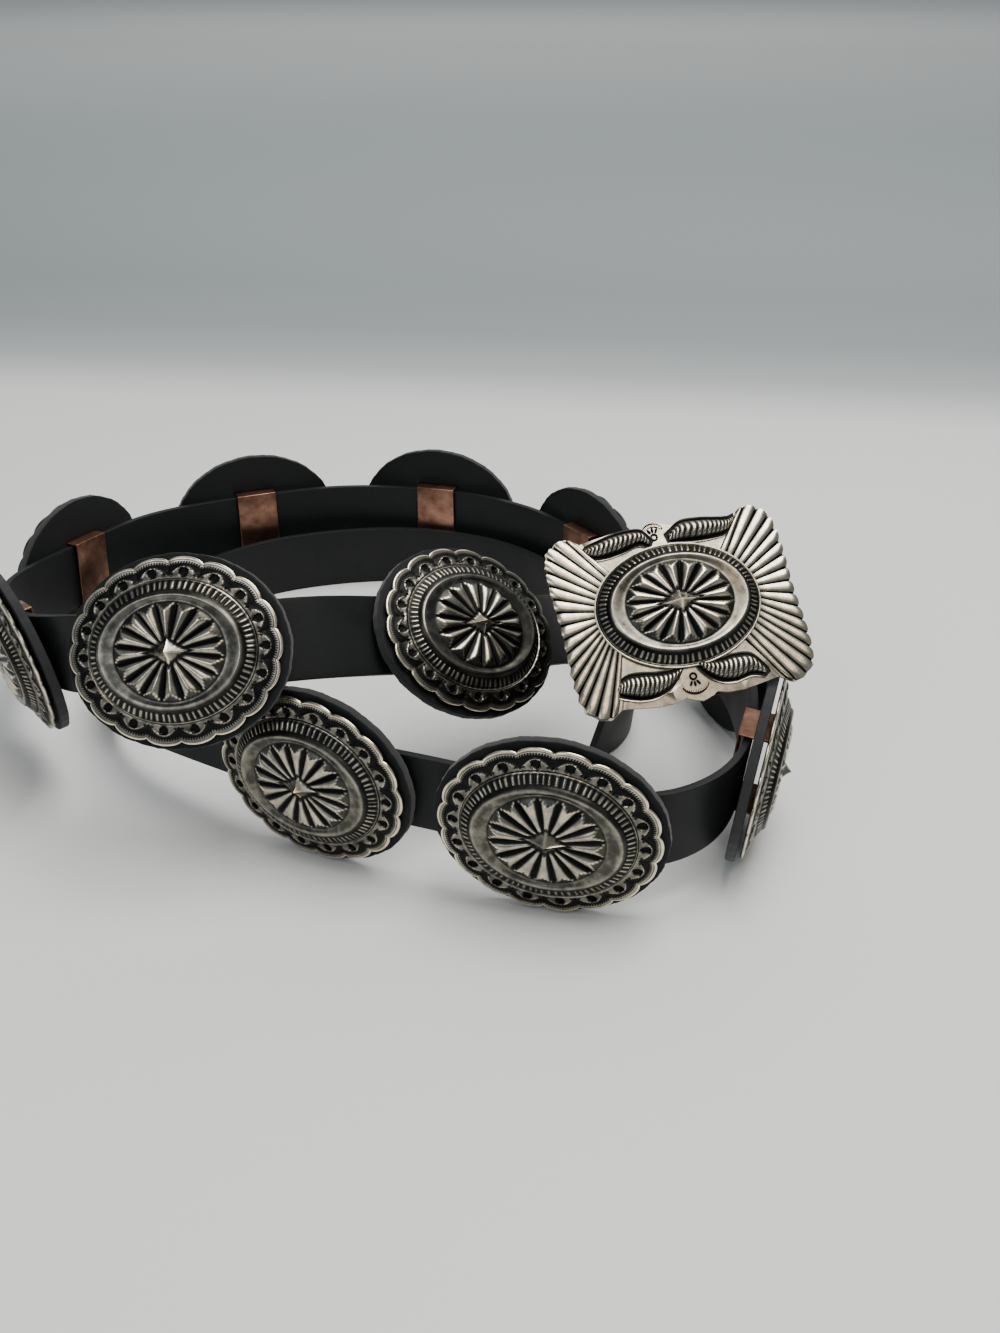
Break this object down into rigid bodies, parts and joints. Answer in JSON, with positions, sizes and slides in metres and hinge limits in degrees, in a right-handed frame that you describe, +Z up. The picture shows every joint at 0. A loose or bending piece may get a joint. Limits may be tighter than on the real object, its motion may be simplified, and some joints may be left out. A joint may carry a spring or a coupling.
{
  "type": "concho belt",
  "caption": "Concho belt lying in an open coil: oval stamped silver conchos on leather backings along a leather strap, with a rayed silver buckle.",
  "frame": {"origin": "on the table, under the middle of the coil's footprint", "axes": "+Z up; the front of the coil, where the buckle and the nearest conchos face the viewer, is towards -Y; +X is to the viewer's right"},
  "size_m": [0.2844, 0.265, 0.1012],
  "materials": {
    "silver": "stamped and soldered sterling silver, oxidised dark in the recesses and polished on the high points",
    "strap_leather": "black smooth-finished leather with cut edges",
    "backing_leather": "black thick leather ovals with slightly fuzzy cut edges",
    "copper": "satin brownish sheet copper"
  },
  "bodies": {
    "root": {"strap": "strap_leather", "concho_01": "silver", "concho_01_backing": "backing_leather", "concho_01_loop": "copper", "concho_02": "silver", "concho_02_backing": "backing_leather", "concho_02_loop": "copper", "concho_03": "silver", "concho_03_backing": "backing_leather", "concho_03_loop": "copper", "concho_04": "silver", "concho_04_backing": "backing_leather", "concho_04_loop": "copper", "concho_05": "silver", "concho_05_backing": "backing_leather", "concho_05_loop": "copper", "concho_06": "silver", "concho_06_backing": "backing_leather", "concho_06_loop": "copper", "concho_07": "silver", "concho_07_backing": "backing_leather", "concho_07_loop": "copper", "concho_08": "silver", "concho_08_backing": "backing_leather", "concho_08_loop": "copper", "concho_09": "silver", "concho_09_backing": "backing_leather", "concho_09_loop": "copper", "concho_10": "silver", "concho_10_backing": "backing_leather", "concho_10_loop": "copper", "concho_11": "silver", "concho_11_backing": "backing_leather", "concho_11_loop": "copper", "buckle": "silver"}
  },
  "joints": []
}
